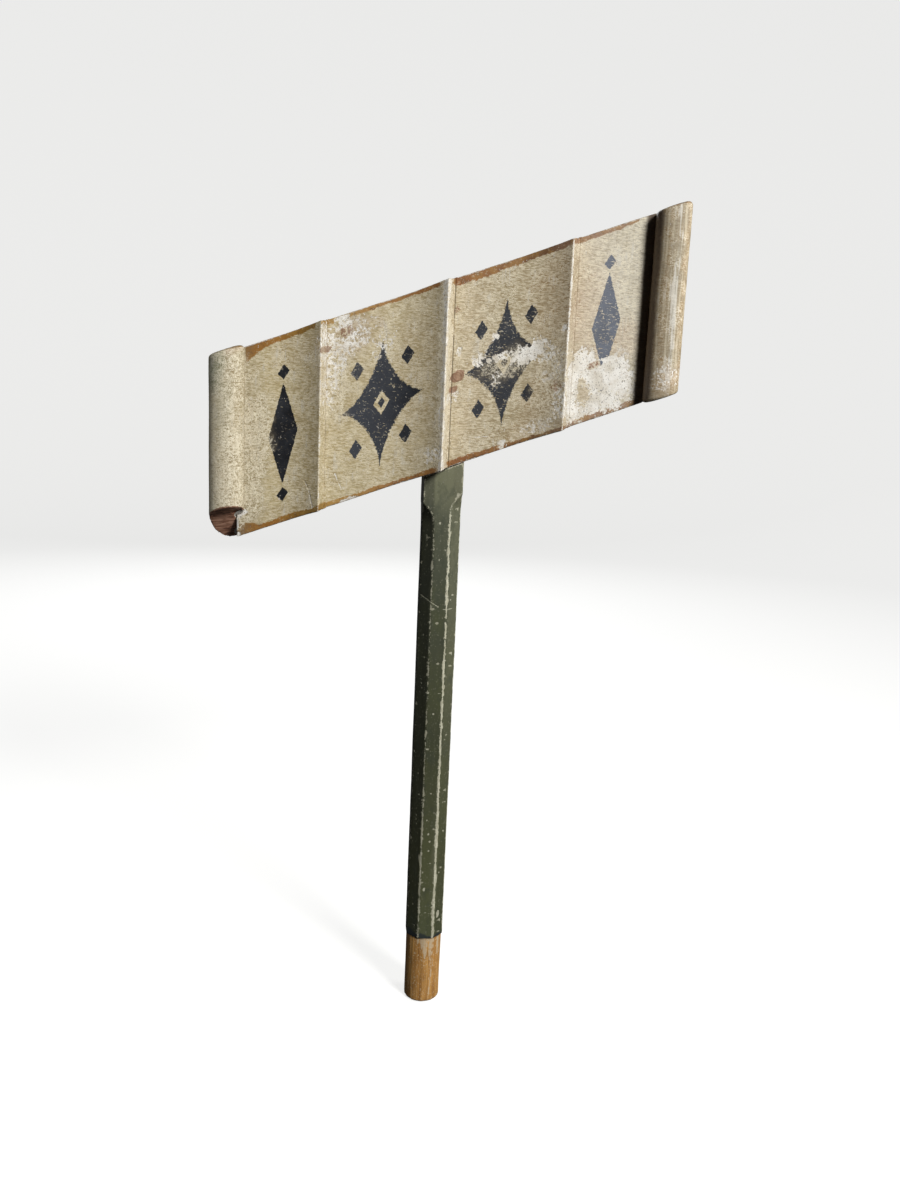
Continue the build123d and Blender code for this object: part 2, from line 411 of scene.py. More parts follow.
def crest_wear(x, noise):
    """0 to 1 on the worn tops of the ridges, which is a broad strip on the middle one."""
    total = np.zeros(len(x))
    for joint, (from_joint, half_wide, strength) in zip(JOINTS, CRESTS):
        reach = half_wide * (1 + 0.7 * noise)
        near = ease(reach - np.abs(x - joint - from_joint), -0.9, 0.9)
        total = np.maximum(total, strength * near)
    return total


BEVEL_TALL = 26.0  # how far the left roll's steep bevel climbs from the back
BEVEL_STANDS = 3.0  # the steep bevel ends this far in front of the board's face
BEVEL_SHALLOW = 0.42  # the slope of the bevel in front of that
BEVEL_ACROSS = 0.19  # its slope from left to right
BEVEL_REACH = 45  # all of the bevel is below this rise
BARE_BACK = 0.9  # the wood is bare this far in from the back


def bevel_height(x, y):
    """Height of the left roll's bevelled lower end at each place, as the CAD cuts it."""
    centre = (LEFT_END + LIP) / 2
    side = FACE_Y - BEVEL_STANDS
    steep = BEVEL_TALL * (BACK_Y - y) / (BACK_Y - side)
    shallow = BEVEL_TALL + BEVEL_SHALLOW * (side - y)
    return FOOT + SLOPE * centre + BEVEL_ACROSS * (x - centre) + np.minimum(steep, shallow)


def bare_wood_depth(node, x, y, z, rise, loss):
    """Millimetres inside the bare wood of the back and the left roll's bevel, negative outside."""
    raw = BARE_BACK - (BACK_Y - y)
    if node == "left_roll":
        end_face = 1.0 - np.abs(z - bevel_height(x, y)) * 0.75
        raw = np.maximum(raw, np.where(rise < BEVEL_REACH, end_face, -1)) - 2 * ease(loss, 0.5, 0.8)
    return raw


def seam_share(x, z):
    """1 on the glued joints and round the plugs, which stay as the CAD has them, and 0 elsewhere."""
    away = np.min([np.abs(x - joint) for joint in JOINTS], axis=0)
    for middle_x, middle_z in PLUG_MIDDLES:
        away = np.minimum(away, np.abs(np.hypot(x - middle_x, z - middle_z) - PLUG_RADIUS))
    return 1 - ease(away, 0.9, 2.0)


def device_depth(x, rise):
    """Millimetres inside the painted devices, negative outside."""
    depth = np.full(len(x), FAR_OUTSIDE)
    for draw, middle_x, middle_rise in DEVICES:
        depth = np.maximum(depth, draw(x, rise, middle_x, middle_rise))
    return depth


def work_board_piece(node, material, slot="painted_gesso", voxel=BOARD_VOXEL):
    """One piece of the board: worn arrises, chips and sunken losses, and its paint fields."""
    piece = Worked(node, voxel, BOARD_ROUNDING)
    x, y, z = piece.at.T
    rise = z - FOOT - SLOPE * x
    flat = np.stack([x, np.zeros_like(x), rise], axis=1)
    solid = np.stack([x, y, z], axis=1)
    wobble = fractal(flat, 9, 11, 4)
    fine = fractal(flat, 3.5, 91, 3)
    facing = piece.normals()
    front = ease(-facing[:, 1], 0.0, 0.3)
    loss = (patches(x, rise, LOSSES, wobble) - patches(x, rise, KEPT, wobble)) * front
    loss = np.maximum(loss, 0.62 * scratches(x, rise) * front)
    seam = seam_share(x, z)
    arris = ease(piece.bulge, 0.06, 0.55) * (1 - seam)
    wear = arris * (0.7 + 0.5 * fractal(solid, 12, 31, 3))
    wear = np.maximum(wear, crest_wear(x, fractal(flat, 11, 41, 4)) * front)
    raw = bare_wood_depth(node, x, y, z, rise, loss)

    ripple = fractal(solid / [5.0, 5.0, 1.3], 1.0, 51, 2)
    chip = ease(fractal(solid, 7, 71, 3), 0.42, 0.75) * ease(piece.bulge, 0.12, 0.5) * (1 - seam)
    sunk = ease(loss + 0.22 * fine, 0.42, 0.6) * front
    lumps = 0.2 * (fractal(solid, 38, 5, 2) - 1) * (1 - seam)
    piece.push(0.06 * ripple + lumps - 0.3 * arris - 1.0 * chip - 0.3 * sunk)
    hidden = np.abs(facing[:, 1]) < 0.7  # the glued faces, which are closed up tight
    piece.at[hidden] += 0.35 * (facing * seam[:, None])[hidden]
    if node == "left_roll":  # a bite out of the bevel's edge
        hollow = ease(-np.hypot((x + 194) / 6.5, (rise - 26) / 3.2), -1.0, -0.3)
        piece.at[:, 1] += 3.5 * hollow * ease(raw, -0.5, 0.5)
    piece.write()

    opened = 0.75 * ease(np.abs(x - CRACK), 1.0, 0.4) * ease(fractal(flat, 16, 61, 3), -0.35, 0.3)
    # Painted shade darkens the hollows, and along the opened joint the crack's own dark line is added.
    crevice_shade_and_crack = np.maximum(0.5 * ease(-piece.bulge, 0.08, 0.5), opened * front)
    piece.field("device", np.where(front > 0.2, device_depth(x, rise), FAR_OUTSIDE))
    end_up = np.where(facing[:, 2] > 0.6, 0.9 * wobble + 0.1, OUTSIDE)  # the upper ends are brown in patches
    piece.field("border", np.maximum(border(x, rise, wobble), end_up))
    piece.field("loss", loss)
    for name, (listed, ragged, front_only) in STAINS_AND_PAINTED_LIGHT.items():
        piece.field(name, patches(x, rise, listed, wobble, ragged) * (front if front_only else 1))
    piece.field("wear", wear + 0.6 * chip)
    piece.field("crevice_shade_and_crack", crevice_shade_and_crack)
    piece.field("raw", raw)
    piece.field("end_grain", ease(-facing[:, 2], 0.3, 0.6))
    piece.finish(material, slot)


# ---------------------------------------------------------------- the post
ARRIS = math.tan(math.radians(22.5))  # an octagon's corner, as a share of its half width
# How far the green is rubbed off each arris, in millimetres, by the direction of the arris:
# 0 is the right, 90 the front.
RUBBED = {67.5: 1.1, 112.5: 0.4, 22.5: 0.45, 157.5: -0.2, 202.5: 0.1, 247.5: 0.3, 292.5: 0.0, 337.5: 0.4}
STOP_FOOT_LEFT, STOP_FOOT_RIGHT = 434.0, 445.0  # where the chamfers begin to run out
STOP_TOP = 470.0  # both stops have run out below this
SPIGOT_RADIUS = 18.5
FLAKES = [  # x, z, half width and half height of single chips on the front and its two neighbours
    (7, 406, 1.0, 2.0),
    (-13, 421, 2.4, 1.3),
    (-2, 436, 1.1, 1.6),
    (-1, 400, 0.9, 1.4),
    (-1, 337, 1.4, 1.1),
    (-8.3, 338, 1.2, 1.8),
    (2, 296, 1.7, 0.8),
    (-1, 244, 1.2, 1.4),
    (-1, 116, 0.9, 1.4),
    (1, 108, 1.5, 1.2),
    (0, 98, 1.0, 0.9),
    (-3, 55, 1.1, 2.0),
    (15, 117, 0.9, 1.4),
    (13, 25, 1.4, 3.4),
    (14.5, 462.5, 2.0, 2.4),
    (-8.3, 394, 1.3, 5.5),
    (-8.6, 89, 1.6, 4.0),
    (8.2, 272, 2.0, 2.4),
    (8.4, 66, 1.8, 8.0),
    (7.9, 52, 1.4, 4.0),
    (8.0, 245, 1.7, 6.0),
    (8.3, 232, 1.3, 3.0),
    (4, 139, 0.7, 0.8),
    (-3, 131, 0.6, 1.3),
    (2, 84, 0.8, 0.6),
    (-5, 74, 0.7, 1.0),
    (5, 36, 0.7, 1.2),
    (-1, 29, 0.8, 0.7),
    (0, 160, 0.6, 0.9),
    (3, 205, 0.6, 0.6),
    (-8, 285, 1.5, 1.6),
    (-8, 291, 1.2, 1.2),
    (-8, 266, 1.2, 1.2),
]


def rubbed_arris(x, y, z, noise):
    """Millimetres inside the bare strip along the octagon's arrises, negative outside."""
    inside = np.full(len(x), OUTSIDE)
    radius = POST_HALF * math.hypot(1, ARRIS)
    for direction, width in RUBBED.items():
        a = math.radians(direction)
        away = np.hypot(x - radius * math.cos(a), y + radius * math.sin(a))
        top = STOP_FOOT_RIGHT if math.cos(a) > 0 else STOP_FOOT_LEFT
        strip = width + 0.5 * ease(-z, -230, -90) + (0.55 + 0.55 * abs(width)) * noise - away
        inside = np.maximum(inside, np.where(z < top, strip, OUTSIDE))
    return inside


def work_post(material):
    """The post: hand-planed facets, worn and chipped arrises, and its paint fields."""
    piece = Worked("post", POST_VOXEL, POST_ROUNDING)
    x, y, z = piece.at.T
    solid = np.stack([x, y, z], axis=1)
    along = np.stack([x / 5, y / 5, z / 8], axis=1)
    ragged = fractal(along, 1.0, 131, 4)
    rubbed = rubbed_arris(x, y, z, ragged)
    edge = ease(piece.bulge, 0.02, 0.14) * (0.75 + 0.7 * ragged) * (z > STOP_FOOT_LEFT)
    edge = edge * np.where((x < 0) & (z < STOP_TOP), 0.55, 1)
    rubbed = np.maximum(rubbed, edge * 1.5 - 1.0)
    flakes = np.zeros(len(x))
    for middle_x, middle_z, half_wide, half_tall in FLAKES:
        off = np.hypot((x - middle_x) / half_wide, (z - middle_z) / half_tall) + 0.7 * ragged
        flakes = np.maximum(flakes, ease(-off, -1.3, -0.7))
    chips = np.maximum(flakes * (y < -5), scratch(x, y, z))
    chips = np.maximum(chips, 0.8 * ease(fractal(solid, 4.5, 171, 3), 0.72, 0.9)) * ease(z, 2, 5)
    painted = ease(z, -1.2, 0.2)
    streak = fractal(np.stack([x / 2.2, y / 2.2, z / 60], axis=1), 1.0, 191, 2)
    lumps = 0.14 * (fractal(solid, 42, 7, 2) - 1)
    grain = 0.16 * streak * (1 - painted)
    worn = ease(rubbed, -0.4, 0.5) * painted
    piece.push(lumps + grain + 0.04 * streak - 0.28 * worn - 0.2 * chips)
    piece.field("rubbed", np.where(painted > 0.5, rubbed, OUTSIDE))
    piece.field("chips", chips)
    piece.field("raw", -z + 0.9 * fractal(solid, 9, 211, 3))
    # Painted shade in the post's hollows.
    piece.field("crevice_shade_and_crack", ease(-piece.bulge, 0.03, 0.25))
    piece.field("drips", drips(x, y, z))
    # Painted shade: the left facets darker, and the right facet darker low down.
    piece.field("facet_shade", 0.55 * ease(-x, 7, 10) + 0.4 * ease(x, 9, 11) * ease(-z, -170, -60))
    smear = 0.8 * ease(-np.hypot((x - 6) / 4.5, (z - 84) / 24), -1.2, -0.3) * (y < -12)
    # Painted light: the right facet lighter from low down to the head; and a real pale smear on the front.
    piece.field("lit_side_and_smear", np.maximum(ease(x, 8, 11) * ease(z, 60, 400), smear))
    piece.finish(material, "green_wood")


def scratch(x, y, z):
    """One long scratch that runs down across the left and front facets, then level."""
    line = np.maximum(364 - 0.6 * (x + 18), 351)
    on_line = ease(-np.abs(z - line), -1.0, -0.3) * ease(x, -19, -17) * ease(-x, -15, -13)
    return on_line * (y < -5) * (np.abs(x - 2) > 2)


def drips(x, y, z):
    """Cream gesso that ran from the octagon's arrises down the spigot: 1 on a drip."""
    runs = [(86, 22, 3.6), (98, 12, 2.6), (68, 60, 2.2), (60, 34, 1.6), (112, 7, 2.0), (38, 20, 2.4)]
    angle = np.degrees(np.arctan2(-y, x))
    total = np.zeros(len(x))
    sway = 2.5 * np.sin(z / 9)
    for middle, length, half_wide in runs:
        across = np.abs((angle + sway - middle) * math.pi / 180 * SPIGOT_RADIUS)
        taper = 1 - np.clip(-z / length, 0, 1.4)
        inside = half_wide * (0.35 + 0.65 * taper) - across
        total = np.maximum(total, ease(inside, -0.8, 0.8) * (taper > -0.1))
    return total


# ---------------------------------------------------------------- node helpers
class Paint:
    """A material's node tree, with short ways to add the nodes that the finishes need."""

    def __init__(self, name):
        self.material = bpy.data.materials.new(name)
        self.material.use_nodes = True
        self.tree = self.material.node_tree
        self.shader = self.tree.nodes["Principled BSDF"]
        self.place = self.node("ShaderNodeTexCoord").outputs["Object"]

    def node(self, kind, **settings):
        """A new node with its settings."""
        made = self.tree.nodes.new(kind)
        for key, value in settings.items():
            setattr(made, key, value)
        return made

    def put(self, socket, value):
        """Links a socket to another one, or sets it to a number or a colour."""
        if isinstance(value, bpy.types.NodeSocket):
            self.tree.links.new(value, socket)
        elif isinstance(value, tuple) and len(value) == 3 and socket.type == "RGBA":
            socket.default_value = (*value, 1)
        else:
            socket.default_value = value

    def math(self, operation, a, b=0.0):
        made = self.node("ShaderNodeMath", operation=operation)
        self.put(made.inputs[0], a)
        self.put(made.inputs[1], b)
        return made.outputs[0]

    def plus(self, a, b):
        return self.math("ADD", a, b)

    def minus(self, a, b):
        return self.math("SUBTRACT", a, b)

    def times(self, a, b):
        return self.math("MULTIPLY", a, b)

    def larger(self, a, b):
        return self.math("MAXIMUM", a, b)

    def field(self, name):
        """A number that Worked.field stored at each vertex."""
        return self.node("ShaderNodeAttribute", attribute_name=name).outputs["Fac"]

    def stretched(self, scale):
        """The place on the object, scaled along each axis."""
        made = self.node("ShaderNodeMapping")
        self.put(made.inputs["Vector"], self.place)
        made.inputs["Scale"].default_value = scale
        return made.outputs[0]

    def noise(self, scale, detail=3.0, rough=0.55, stretch=(1, 1, 1), bend=0.0):
        """Noise from about 0 to 1 with a number of lumps in each metre."""
        made = self.node("ShaderNodeTexNoise")
        self.put(made.inputs["Vector"], self.stretched(tuple(scale * s for s in stretch)))
        made.inputs["Scale"].default_value = 1.0
        made.inputs["Detail"].default_value = detail
        made.inputs["Roughness"].default_value = rough
        made.inputs["Distortion"].default_value = bend
        return made.outputs["Fac"]

    def between(self, value, low, high, out_low=0.0, out_high=1.0, curve="SMOOTHSTEP"):
        """Maps low..high to out_low..out_high, smoothly unless another curve is named."""
        made = self.node("ShaderNodeMapRange", interpolation_type=curve)
        self.put(made.inputs["Value"], value)
        made.inputs["From Min"].default_value = low
        made.inputs["From Max"].default_value = high
        made.inputs["To Min"].default_value = out_low
        made.inputs["To Max"].default_value = out_high
        return made.outputs["Result"]

    def between_linear(self, value, low, high):
        """Maps low..high to 0..1 in a straight line."""
        return self.between(value, low, high, curve="LINEAR")

    def mix(self, share, a, b):
        """Colour a with that share of colour b over it."""
        made = self.node("ShaderNodeMix", data_type="RGBA")
        self.put(made.inputs["Factor"], share)
        self.put(made.inputs[6], a)
        self.put(made.inputs[7], b)
        return made.outputs[2]

    def ramp(self, value, stops):
        """A colour for each value from 0 to 1, from a list of positions and colours."""
        made = self.node("ShaderNodeValToRGB")
        self.put(made.inputs[0], value)
        ramp = made.color_ramp
        while len(ramp.elements) < len(stops):
            ramp.elements.new(0.5)
        for element, (position, colour) in zip(ramp.elements, stops):
            element.position = position
            element.color = (*colour, 1)
        return made.outputs["Color"]

    def axis(self, index):
        """The place along one axis, in metres."""
        made = self.node("ShaderNodeSeparateXYZ")
        self.put(made.inputs[0], self.place)
        return made.outputs[index]

    def facing(self, index):
        """How far the surface faces along one axis, from -1 to 1."""
        made = self.node("ShaderNodeSeparateXYZ")
        self.put(made.inputs[0], self.node("ShaderNodeTexCoord").outputs["Normal"])
        return made.outputs[index]

    def finish(self, colour, rough, height, strength, distance, specular=0.4):
        """Joins the colour, roughness and bump height to the shader."""
        bump = self.node("ShaderNodeBump")
        bump.inputs["Strength"].default_value = strength
        bump.inputs["Distance"].default_value = distance
        self.put(bump.inputs["Height"], height)
        self.put(self.shader.inputs["Normal"], bump.outputs["Normal"])
        self.put(self.shader.inputs["Base Color"], colour)
        self.put(self.shader.inputs["Roughness"], rough)
        self.put(self.shader.inputs["Specular IOR Level"], specular)
        return self.material


# ---------------------------------------------------------------- wood
def aged_wood(paint, pale, mid, dark, coarse):
    """Old wood with its grain upright."""
    fibre = paint.noise(coarse, 4, 0.6, (1, 1, 0.045), 0.6)
    fine = paint.noise(coarse * 6, 3, 0.6, (1, 1, 0.02))
    colour = paint.mix(paint.between(fibre, 0.3, 0.7), mid, pale)
    return paint.mix(paint.between(fine, 0.48, 0.72, 0, 0.8), colour, dark)


# ---------------------------------------------------------------- the scroll's paint
def grey(value):
    return (value, value, value)


BLACK = grey(0.0)
SOOT = 0.07  # how much black lies evenly over the cream
# Partly painted light and shade: lighter at the far left, where the left roll is turned from the light,
# darker just before the first ridge, where the hollow faces away from it, and darker at the right end, where
# the right roll turns away.
CREAM_WITH_PAINTED_SHADING = [  # the ground's colour from the board's left end, 0, to its right end, 1
    (0.0, (0.80, 0.71, 0.50)),
    (0.018, (0.70, 0.62, 0.43)),
    (0.045, (0.36, 0.305, 0.185)),
    (0.08, (0.37, 0.305, 0.170)),
    (0.12, (0.51, 0.415, 0.222)),
    (0.21, (0.41, 0.325, 0.17)),
    (0.25, (0.51, 0.415, 0.225)),
    (0.48, (0.47, 0.38, 0.22)),
    (0.54, (0.46, 0.37, 0.235)),
    (0.62, (0.295, 0.23, 0.122)),
    (0.70, (0.43, 0.35, 0.225)),
    (0.76, (0.53, 0.44, 0.32)),
    (0.84, (0.60, 0.55, 0.455)),
    (0.91, (0.52, 0.48, 0.39)),
    (0.96, (0.30, 0.262, 0.195)),
    (1.0, (0.20, 0.17, 0.115)),
]
BORDER_BROWN = [  # the border band's colour, from left to right
    (0.0, (0.17, 0.085, 0.045)),
    (0.07, (0.20, 0.115, 0.045)),
    (0.10, (0.28, 0.125, 0.022)),
    (0.14, (0.29, 0.125, 0.018)),
    (0.21, (0.22, 0.125, 0.022)),
    (0.26, (0.42, 0.25, 0.075)),
    (0.40, (0.31, 0.145, 0.05)),
    (0.48, (0.24, 0.10, 0.028)),
    (0.55, (0.23, 0.090, 0.030)),
    (0.70, (0.125, 0.060, 0.027)),
    (0.76, (0.28, 0.17, 0.115)),
    (1.0, (0.30, 0.20, 0.12)),
]
FADED = [  # how far the dark devices have faded to blue-grey, from left to right
    (0.0, grey(0.0)),
    (0.26, grey(0.0)),
    (0.29, grey(0.3)),
    (0.44, grey(0.04)),
    (0.54, grey(0.14)),
    (0.72, grey(0.08)),
    (0.80, grey(1.0)),
]
RUBBING = [  # how much the devices are rubbed away in dashes and flecks, from left to right
    (0.0, grey(0.0)),
    (0.22, grey(0.0)),
    (0.30, grey(0.7)),
    (0.45, grey(0.25)),
    (0.55, grey(1.0)),
    (0.72, grey(0.75)),
    (0.85, grey(0.9)),
]


class BoardPaint(Paint):
    """The scroll's paint, in the order in which it was laid on and then lost."""

    def __init__(self, name):
        super().__init__(name)
        self.ripple = self.noise(290, 3, 0.62, (1, 1, 3.0), 0.5)
        self.streaks = self.noise(520, 2, 0.5, (1, 1, 0.04))
        self.cloud = self.noise(26, 4, 0.6)
        self.patchy = self.noise(80, 4, 0.62)
        self.mottle = self.noise(290, 4, 0.62)
        self.crumbs = self.noise(480, 3, 0.65)
        self.across = self.between_linear(self.axis(0), LEFT_END * MM, RIGHT_END * MM)

    def shaken(self, name, reach):
        """A field with its outline made ragged by reach."""
        return self.plus(self.field(name), self.between(self.crumbs, 0.25, 0.75, -reach, reach))

    def cream(self):
        """The ground, with painted light and shade along the board, its varnish gone brown, and its stains.
        """
        share = self.between(self.patchy, 0.3, 0.7, 0.3, 1)
        ground = self.ramp(self.across, CREAM_WITH_PAINTED_SHADING)
        # Brown varnish, and painted shade down the right roll's sides.
        ground = self.mix(self.times(self.field("browned_and_shaded"), share), ground, (0.285, 0.170, 0.060))
        ground = self.mix(self.times(self.field("pinked"), share), ground, (0.46, 0.32, 0.235))
        ground = self.mix(self.times(self.field("greened"), 0.75), ground, (0.22, 0.26, 0.17))
        ground = self.mix(self.between(self.cloud, 0.5, 0.8, 0, 0.4), ground, (0.33, 0.26, 0.145))
        ground = self.mix(self.between(self.patchy, 0.5, 0.75, 0, 0.28), ground, (0.63, 0.56, 0.43))
        ground = self.mix(self.between(self.streaks, 0.5, 0.75, 0, 0.28), ground, (0.30, 0.24, 0.14))
        return self.mix(SOOT, ground, BLACK)

    def brushed(self, ground):
        """Fine pale and dark strokes, level on the boards and upright on the right roll, and the right
        roll's rubbed streak with its painted highlight.
        """
        on_roll = self.between(self.across, 0.92, 0.94)
        stroke = self.between(self.ripple, 0.52, 0.64, 0, 0.5)
        stroke = self.times(stroke, self.between(on_roll, 0, 1, 1, 0.4))
        ground = self.mix(stroke, ground, (0.76, 0.70, 0.54))
        ground = self.mix(self.between(self.ripple, 0.47, 0.33, 0, 0.26), ground, (0.26, 0.195, 0.10))
        weave = self.noise(430, 1, 0.5, (0.5, 0.5, 2.2), 0.4)
        weave = self.plus(weave, self.times(on_roll, self.minus(self.streaks, weave)))
        thread = self.between(weave, 0.54, 0.60, 0, 0.42)
        thread = self.times(thread, self.between(on_roll, 0, 1, 1, 0.65))
        ground = self.mix(thread, ground, (0.76, 0.68, 0.50))
        ground = self.mix(self.between(weave, 0.46, 0.38, 0, 0.30), ground, (0.26, 0.20, 0.105))
        contour = self.math("ABSOLUTE", self.minus(self.ripple, 0.5))
        hairline = self.between(contour, 0.04, 0.01)
        hairline = self.times(hairline, self.between(self.patchy, 0.35, 0.6, 0.1, 0.8))
        ground = self.mix(hairline, ground, (0.84, 0.78, 0.62))
        # The rubbed streak and painted highlight down the right roll.
        silver = self.plus(self.field("silvered_highlight"), self.between(self.streaks, 0.35, 0.65, -0.6, 0.4))
        silver = self.plus(silver, self.between(self.patchy, 0.35, 0.65, -0.6, 0.2))
        return self.mix(self.between(silver, 0.2, 0.8, 0, 0.42), ground, (0.62, 0.62, 0.60))

    def bordered(self, ground):
        """The brown band along the two edges, with the ground showing through it."""
        brown = self.ramp(self.across, BORDER_BROWN)
        brown = self.mix(self.between(self.patchy, 0.4, 0.65, 0, 0.45), brown, (0.38, 0.21, 0.045))
        brown = self.mix(self.between(self.mottle, 0.5, 0.68, 0, 0.6), brown, (0.11, 0.055, 0.02))
        inside = self.between(self.shaken("border", 0.9), -0.25, 0.35)
        cover = self.between(self.mottle, 0.34, 0.42, 0.6, 0.97)
        return self.mix(self.times(inside, cover), ground, brown)

    def decorated(self, colour):
        """The dark devices, gone blue-grey on the last panel and rubbed thin in dashes and flecks."""
        dark = self.mix(self.ramp(self.across, FADED), (0.0085, 0.0095, 0.0125), (0.135, 0.152, 0.190))
        dark = self.mix(self.between(self.patchy, 0.4, 0.7, 0, 0.35), dark, (0.05, 0.056, 0.068))
        rubbing = self.ramp(self.across, RUBBING)
        rubbing = self.plus(rubbing, self.between(self.patchy, 0.3, 0.7, -0.5, 0.5))
        rubbing = self.times(rubbing, 0.08)
        dashes = self.noise(330, 2, 0.5, (0.8, 0.8, 3.0), 0.3)
        flecks = self.noise(560, 2, 0.5, (1, 1, 0.5))
        dash_on = self.between(self.plus(dashes, rubbing), 0.70, 0.76)
        fleck_on = self.between(self.plus(flecks, rubbing), 0.74, 0.78)
        thin = self.larger(dash_on, fleck_on)
        cover = self.between(self.shaken("device", 0.45), -0.2, 0.25)
        cover = self.times(cover, self.minus(1.0, self.times(thin, 0.75)))
        return self.mix(cover, colour, dark)

    def scuffed(self, colour, clay):
        """Scraped and pitted paint with a net of pale strokes, kept off the bare clay."""
        scuff = self.field("scuff")
        scrape = self.plus(scuff, self.between(self.mottle, 0.32, 0.68, -0.45, 0.4))
        scrape = self.plus(scrape, self.between(self.ripple, 0.35, 0.65, -0.4, 0.4))
        scrape = self.plus(scrape, self.between(self.cloud, 0.35, 0.65, -0.2, 0.2))
        scraped = self.between(scrape, 0.6, 1.1, 0, 0.6)
        pitted = self.times(self.between(scrape, 0.9, 0.1, 0.35, 1), scuff)
        colour = self.mix(self.times(pitted, 0.62), colour, (0.27, 0.21, 0.12))
        net = self.noise(370, 1, 0.5, (1, 1, 0.8), 1.0)
        net = self.math("ABSOLUTE", self.minus(net, 0.5))
        net = self.times(self.between(net, 0.06, 0.03), self.between(scuff, 0.2, 0.7, 0, 0.75))
        pale = self.mix(self.between(self.patchy, 0.35, 0.65), (0.74, 0.67, 0.52), (0.58, 0.50, 0.35))
        off_clay = self.minus(1.0, clay)
        colour = self.mix(self.times(scraped, off_clay), colour, pale)
        return self.mix(self.times(net, off_clay), colour, (0.80, 0.74, 0.58))

    def gesso(self):
        """The white ground under the paint, with its stains and specks."""
        speck = self.noise(820, 2, 0.5)
        white = self.mix(self.between(self.patchy, 0.35, 0.65), (0.84, 0.82, 0.77), (0.66, 0.62, 0.54))
        white = self.mix(self.between(self.mottle, 0.54, 0.7, 0, 0.6), white, (0.47, 0.39, 0.30))
        return self.mix(self.between(speck, 0.62, 0.68, 0, 0.8), white, (0.10, 0.085, 0.07))

    def bareness(self, clay):
        """0 to 1 where the paint is lost or worn down to the gesso, apart from the clay."""
        grit = self.between(self.mottle, 0.32, 0.68, -0.3, 0.3)
        lost = self.between(self.plus(self.shaken("loss", 0.36), grit), 0.42, 0.66)
        worn = self.between(self.shaken("wear", 0.3), 0.42, 0.62, 0, 0.9)
        keep = self.minus(1.0, self.times(clay, 0.85))
        return self.times(self.larger(lost, worn), keep)

    def shaded_and_soiled(self, colour, upward):
        """Painted shade in the hollows and beside the rolls, dirt in specks, and dust on the faces that look
        up.
        """
        # Painted shade in the hollows, and the crack's dark line.
        colour = self.mix(self.times(self.field("crevice_shade_and_crack"), 0.8), colour, (0.06, 0.042, 0.025))
        # Painted shadow beside the right roll and down the left roll's left edge.
        colour = self.mix(self.times(self.field("roll_shade"), 0.9), colour, (0.075, 0.045, 0.026))
        grime = self.between(self.noise(1000, 2, 0.5), 0.65, 0.72, 0, 0.55)
        colour = self.mix(grime, colour, (0.12, 0.09, 0.055))
        dust = self.times(upward, self.between(self.patchy, 0.3, 0.7, 0.8, 0.4))
        return self.mix(dust, colour, (0.15, 0.11, 0.07))

    def bare_wood(self):
        """The boards' wood, which shows its layers and checks where it is cut across the grain."""
        wood = aged_wood(self, (0.34, 0.185, 0.115), (0.22, 0.112, 0.07), (0.075, 0.036, 0.024), 150)
        layers = self.noise(330, 4, 0.62, (0.14, 1, 1), 1.2)
        end_grain = self.mix(self.between(layers, 0.38, 0.62), (0.30, 0.14, 0.085), (0.66, 0.38, 0.26))
        checks = self.noise(520, 3, 0.6, (0.08, 1, 1), 0.8)
        end_grain = self.mix(self.between(checks, 0.56, 0.66, 0, 0.85), end_grain, (0.07, 0.032, 0.022))
        return self.mix(self.field("end_grain"), wood, end_grain)


def board_paint():
    paint = BoardPaint("cream_scroll_paint")
    colour = paint.decorated(paint.bordered(paint.brushed(paint.cream())))
    clay = paint.between(paint.shaken("bole", 0.25), 0.42, 0.58)
    clay_colour = paint.mix(paint.between(paint.mottle, 0.4, 0.65), (0.25, 0.135, 0.085), (0.37, 0.24, 0.16))
    colour = paint.mix(clay, colour, clay_colour)
    colour = paint.scuffed(colour, clay)
    bare = paint.bareness(clay)
    colour = paint.mix(bare, colour, paint.gesso())
    upward = paint.between(paint.facing(2), 0.6, 0.9)
    colour = paint.shaded_and_soiled(colour, upward)
    ragged = paint.between(paint.crumbs, 0.2, 0.8, -0.5, 0.5)
    raw = paint.between(paint.plus(paint.field("raw"), ragged), -0.1, 0.3)
    colour = paint.mix(raw, colour, paint.bare_wood())

    rough = paint.larger(paint.between(bare, 0, 1, 0.56, 0.86), upward)
    height = paint.plus(paint.times(paint.ripple, 0.9), paint.times(paint.crumbs, 0.35))
    height = paint.minus(height, paint.times(bare, 0.5))
    return paint.finish(colour, rough, height, 0.6, 0.35 * MM, paint.between(upward, 0, 1, 0.25, 0))


# ---------------------------------------------------------------- the post's paint
POST_GREEN = [  # the green's colour from the shoulder, 0, to half a metre up, 1
    (0.0, (0.080, 0.090, 0.047)),
    (0.12, (0.082, 0.088, 0.041)),
    (0.4, (0.050, 0.054, 0.029)),
    (0.75, (0.060, 0.066, 0.043)),
    (0.88, (0.085, 0.09, 0.058)),
    (0.93, (0.155, 0.158, 0.098)),
    (1.0, (0.18, 0.182, 0.112)),
]


